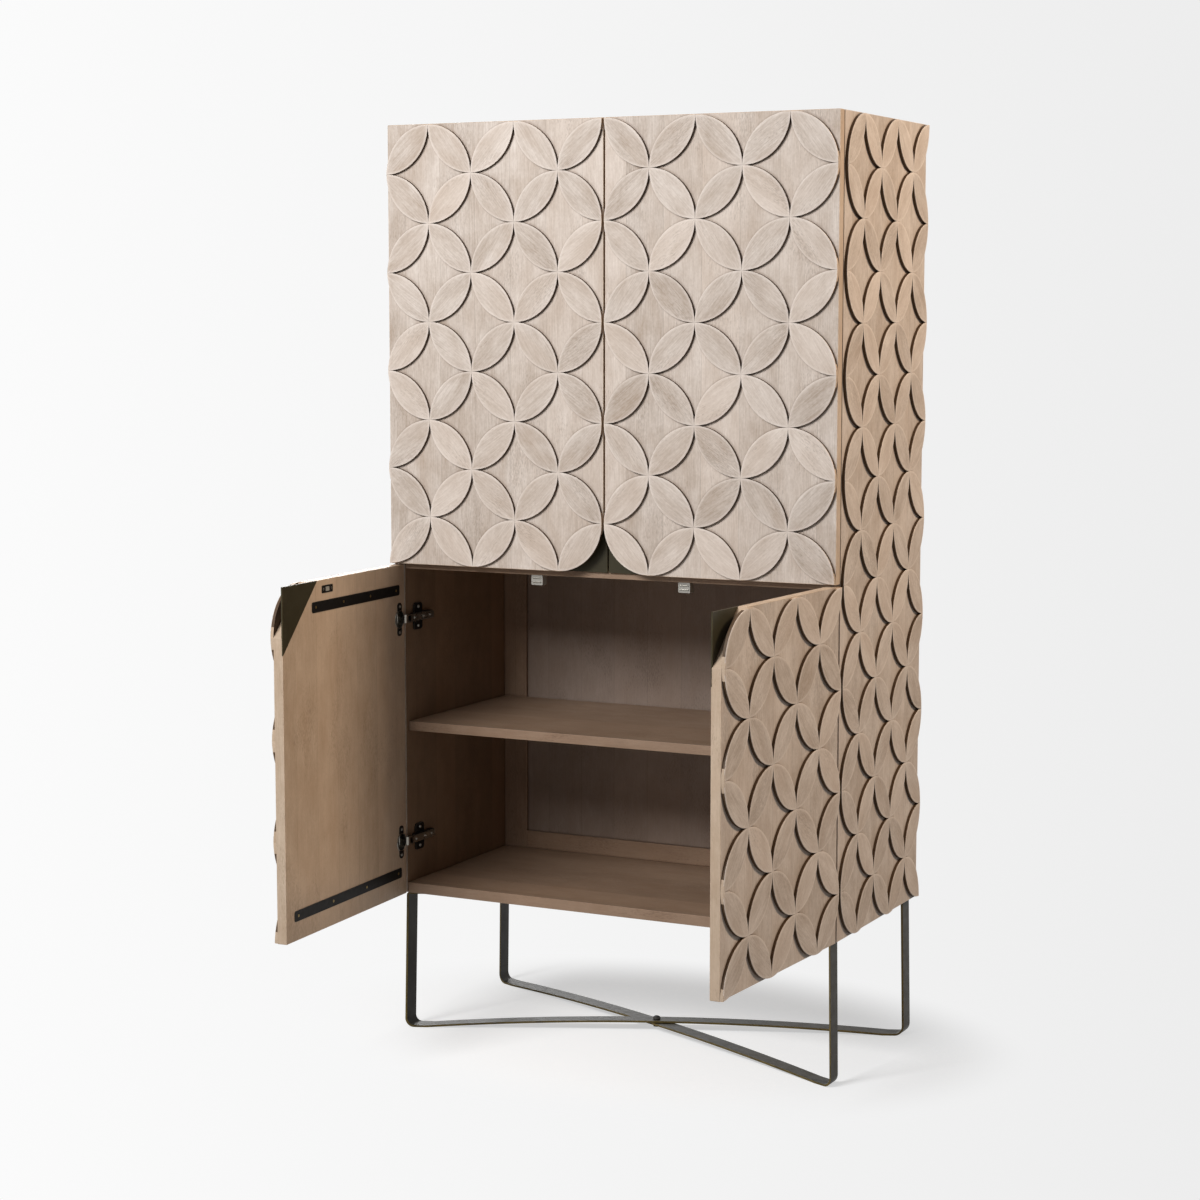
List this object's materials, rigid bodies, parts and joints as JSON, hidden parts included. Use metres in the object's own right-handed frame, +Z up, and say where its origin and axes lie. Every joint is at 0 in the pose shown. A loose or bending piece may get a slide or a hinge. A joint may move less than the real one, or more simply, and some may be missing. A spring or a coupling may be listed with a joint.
{
  "type": "storage cabinet",
  "caption": "Tall wooden storage cabinet with paired upper and lower doors, an overlapping-circle petal relief and a base of crossed bent metal bars.",
  "frame": {"origin": "on the floor under the middle of the carcass", "axes": "+Z up, +X to the right seen from the front, the doors on the -Y side"},
  "size_m": [0.9278, 0.8785, 1.7464],
  "materials": {
    "petal_wood": "matt oiled",
    "door_boards": "matt oiled",
    "carcass_boards": "matt oiled",
    "bronze_plate": "satin",
    "bronzed_bar": "satin",
    "black_steel": "satin",
    "hinge_nickel": "satin",
    "catch_plastic": "matt"
  },
  "bodies": {
    "carcass": {"left_side_panel": "carcass_boards", "right_side_panel": "carcass_boards", "left_side_petals": "petal_wood", "right_side_petals": "petal_wood", "top_panel": "carcass_boards", "bottom_panel": "carcass_boards", "middle_divider": "carcass_boards", "lower_shelf": "carcass_boards", "upper_shelves": "carcass_boards", "back_stiles": "carcass_boards", "back_rails": "carcass_boards", "back_panels": "carcass_boards", "hinge_mounting_plates": "hinge_nickel", "hinge_arms": "hinge_nickel", "hinge_screws": "hinge_nickel", "magnetic_catches": "catch_plastic", "leg_bar_over": "bronzed_bar", "leg_bar_under": "bronzed_bar", "crossing_bolt": "black_steel", "crossing_nut": "black_steel", "leg_screws": "black_steel"},
    "left_lower_door": {"left_lower_core": "door_boards", "left_lower_petals": "petal_wood", "left_lower_pull_plate": "bronze_plate", "left_lower_straps": "black_steel", "left_lower_hinge_cups": "hinge_nickel", "left_lower_hinge_pins": "hinge_nickel", "left_lower_strike_plate": "hinge_nickel"},
    "right_lower_door": {"right_lower_core": "door_boards", "right_lower_petals": "petal_wood", "right_lower_pull_plate": "bronze_plate", "right_lower_straps": "black_steel", "right_lower_hinge_cups": "hinge_nickel", "right_lower_hinge_pins": "hinge_nickel", "right_lower_strike_plate": "hinge_nickel"},
    "left_upper_door": {"left_upper_core": "door_boards", "left_upper_petals": "petal_wood", "left_upper_pull_plate": "bronze_plate", "left_upper_straps": "black_steel", "left_upper_hinge_cups": "hinge_nickel", "left_upper_hinge_pins": "hinge_nickel", "left_upper_strike_plate": "hinge_nickel"},
    "right_upper_door": {"right_upper_core": "door_boards", "right_upper_petals": "petal_wood", "right_upper_pull_plate": "bronze_plate", "right_upper_straps": "black_steel", "right_upper_hinge_cups": "hinge_nickel", "right_upper_hinge_pins": "hinge_nickel", "right_upper_strike_plate": "hinge_nickel"}
  },
  "joints": [
    {"name": "left_lower_door_swing", "type": "hinge", "parent": "carcass", "child": "left_lower_door", "pos_m": [-0.4495, -0.2225, 0.5932], "axis": [0, 0, -1], "range_deg": [-87, 8]},
    {"name": "right_lower_door_swing", "type": "hinge", "parent": "carcass", "child": "right_lower_door", "pos_m": [0.4495, -0.2225, 0.5932], "axis": [0, 0, 1], "range_deg": [-87, 8]},
    {"name": "left_upper_door_swing", "type": "hinge", "parent": "carcass", "child": "left_upper_door", "pos_m": [-0.4495, -0.2225, 1.3324], "axis": [0, 0, -1], "range_deg": [0, 95]},
    {"name": "right_upper_door_swing", "type": "hinge", "parent": "carcass", "child": "right_upper_door", "pos_m": [0.4495, -0.2225, 1.3324], "axis": [0, 0, 1], "range_deg": [0, 95]}
  ]
}
